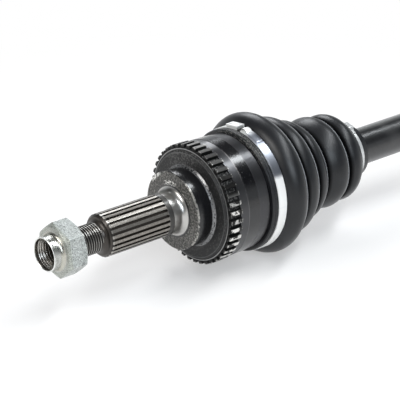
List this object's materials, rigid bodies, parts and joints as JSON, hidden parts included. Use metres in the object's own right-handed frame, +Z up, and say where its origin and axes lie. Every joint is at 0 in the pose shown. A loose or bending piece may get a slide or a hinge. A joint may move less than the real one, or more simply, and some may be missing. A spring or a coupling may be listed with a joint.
{
  "type": "drive shaft",
  "caption": "Drive shaft for a driven front wheel: ball joint bell with splined stub, sensor ring and hub nut, bar, two folded boots, plunging tripod joint.",
  "frame": {"origin": "centre of the flat face that seats against the wheel hub", "axes": "+X along the bar toward the gearbox, +Z up, +Y across; the joints bend about Z"},
  "size_m": [0.6603, 0.1076, 0.1076],
  "materials": {
    "forging": "semi-gloss black coating on forged steel, machined bands brighter",
    "ring_iron": "dark toothed ring with worn edges",
    "zinc": "pale plated nut with a speckled grain",
    "cage_steel": "ground steel",
    "ball_steel": "polished",
    "race_steel": "ground steel",
    "spring_steel": "dark spring steel",
    "boot_rubber": "satin moulded elastomer",
    "stainless": "bright stainless band",
    "bar_paint": "semi-gloss black paint",
    "adaptor_plastic": "moulded bushing",
    "housing_steel": "black coated forging, ground journal brighter"
  },
  "bodies": {
    "bell": {"outer_race": "forging", "abs_ring": "ring_iron", "outer_boot": "boot_rubber", "outer_boot_clamp_large": "stainless"},
    "shaft": {"shaft_bar": "bar_paint", "outer_inner_race": "race_steel", "outer_circlip": "spring_steel", "outer_boot_clamp_small": "stainless", "inner_boot_clamp_small": "stainless", "tripod_spider": "race_steel", "spider_circlip": "spring_steel", "roller_retainer_1": "spring_steel", "roller_retainer_2": "spring_steel", "roller_retainer_3": "spring_steel"},
    "cage": {"outer_cage": "cage_steel"},
    "nut": {"hub_nut": "zinc"},
    "inner_pivot": {"roller_needles_1": "ball_steel"},
    "housing": {"tripod_housing": "housing_steel", "inner_boot_adaptor": "adaptor_plastic", "inner_boot_clamp_large": "stainless", "inner_boot": "boot_rubber", "housing_stop_ring": "spring_steel", "stub_circlip": "spring_steel"},
    "needles_2": {"roller_needles_2": "ball_steel"},
    "needles_3": {"roller_needles_3": "ball_steel"},
    "ball_1": {"ball_1": "ball_steel"},
    "ball_2": {"ball_2": "ball_steel"},
    "ball_3": {"ball_3": "ball_steel"},
    "ball_4": {"ball_4": "ball_steel"},
    "ball_5": {"ball_5": "ball_steel"},
    "ball_6": {"ball_6": "ball_steel"},
    "roller_1": {"roller_1": "race_steel"},
    "roller_2": {"roller_2": "race_steel"},
    "roller_3": {"roller_3": "race_steel"}
  },
  "joints": [
    {"name": "outer_bend", "type": "hinge", "parent": "bell", "child": "shaft", "pos_m": [0.048, 0, 0], "axis": [0, 0, -1], "range_deg": [-42, 42], "deforming": ["outer_boot"]},
    {"name": "cage_tilt", "type": "hinge", "parent": "bell", "child": "cage", "pos_m": [0.048, 0, 0], "axis": [0, 0, -1], "range_deg": [-21.1, 21.1]},
    {"name": "ball_1_roll", "type": "hinge", "parent": "bell", "child": "ball_1", "pos_m": [0.0512, 0, 0], "axis": [0, 0, 1], "range_deg": [-21.1, 21.1]},
    {"name": "ball_2_roll", "type": "hinge", "parent": "bell", "child": "ball_2", "pos_m": [0.0512, 0, 0], "axis": [0, -0.866, 0.5], "range_deg": [-10.97, 10.97]},
    {"name": "ball_3_roll", "type": "hinge", "parent": "bell", "child": "ball_3", "pos_m": [0.0512, 0, 0], "axis": [0, -0.866, -0.5], "range_deg": [-10.97, 10.97]},
    {"name": "ball_4_roll", "type": "hinge", "parent": "bell", "child": "ball_4", "pos_m": [0.0512, 0, 0], "axis": [0, 0, -1], "range_deg": [-21.1, 21.1]},
    {"name": "ball_5_roll", "type": "hinge", "parent": "bell", "child": "ball_5", "pos_m": [0.0512, 0, 0], "axis": [0, 0.866, -0.5], "range_deg": [-10.97, 10.97]},
    {"name": "ball_6_roll", "type": "hinge", "parent": "bell", "child": "ball_6", "pos_m": [0.0512, 0, 0], "axis": [0, 0.866, 0.5], "range_deg": [-10.97, 10.97]},
    {"name": "nut_travel", "type": "slide", "parent": "bell", "child": "nut", "axis": [-1, 0, 0], "range_m": [-0.0125, 0.03]},
    {"name": "inner_bend", "type": "hinge", "parent": "shaft", "child": "inner_pivot", "pos_m": [0.448, 0, 0], "axis": [0, 0, 1], "range_deg": [-15, 15], "deforming": ["inner_boot"]},
    {"name": "inner_plunge", "type": "slide", "parent": "inner_pivot", "child": "housing", "axis": [1, 0, 0], "range_m": [-0.015, 0.015], "deforming": ["inner_boot"]},
    {"name": "roller_1_spin", "type": "hinge", "parent": "inner_pivot", "child": "roller_1", "pos_m": [0.448, 0, 0.021], "axis": [0, 0, 1], "range_deg": [-50.76, 50.76]},
    {"name": "roller_2_spin", "type": "hinge", "parent": "shaft", "child": "roller_2", "pos_m": [0.448, -0.01819, -0.0105], "axis": [0, -0.866, -0.5], "range_deg": [-50.76, 50.76]},
    {"name": "needles_2_orbit", "type": "hinge", "parent": "shaft", "child": "needles_2", "pos_m": [0.448, -0.01819, -0.0105], "axis": [0, -0.866, -0.5], "range_deg": [-28.62, 28.62]},
    {"name": "roller_3_spin", "type": "hinge", "parent": "shaft", "child": "roller_3", "pos_m": [0.448, 0.01819, -0.0105], "axis": [0, 0.866, -0.5], "range_deg": [-50.76, 50.76]},
    {"name": "needles_3_orbit", "type": "hinge", "parent": "shaft", "child": "needles_3", "pos_m": [0.448, 0.01819, -0.0105], "axis": [0, 0.866, -0.5], "range_deg": [-28.62, 28.62]}
  ],
  "couplings": [
    {"joint": "cage_tilt", "follows": "outer_bend", "ratio": 0.5},
    {"joint": "ball_1_roll", "follows": "outer_bend", "ratio": -0.5},
    {"joint": "ball_2_roll", "follows": "outer_bend", "ratio": -0.2588},
    {"joint": "ball_3_roll", "follows": "outer_bend", "ratio": 0.2588},
    {"joint": "ball_4_roll", "follows": "outer_bend", "ratio": 0.5},
    {"joint": "ball_5_roll", "follows": "outer_bend", "ratio": 0.2588},
    {"joint": "ball_6_roll", "follows": "outer_bend", "ratio": -0.2588},
    {"joint": "roller_1_spin", "follows": "inner_plunge", "rad_per_m": 58.824},
    {"joint": "roller_2_spin", "follows": "inner_plunge", "rad_per_m": 58.824},
    {"joint": "needles_2_orbit", "follows": "inner_plunge", "rad_per_m": 33.074},
    {"joint": "roller_3_spin", "follows": "inner_plunge", "rad_per_m": 58.824},
    {"joint": "needles_3_orbit", "follows": "inner_plunge", "rad_per_m": 33.074}
  ]
}
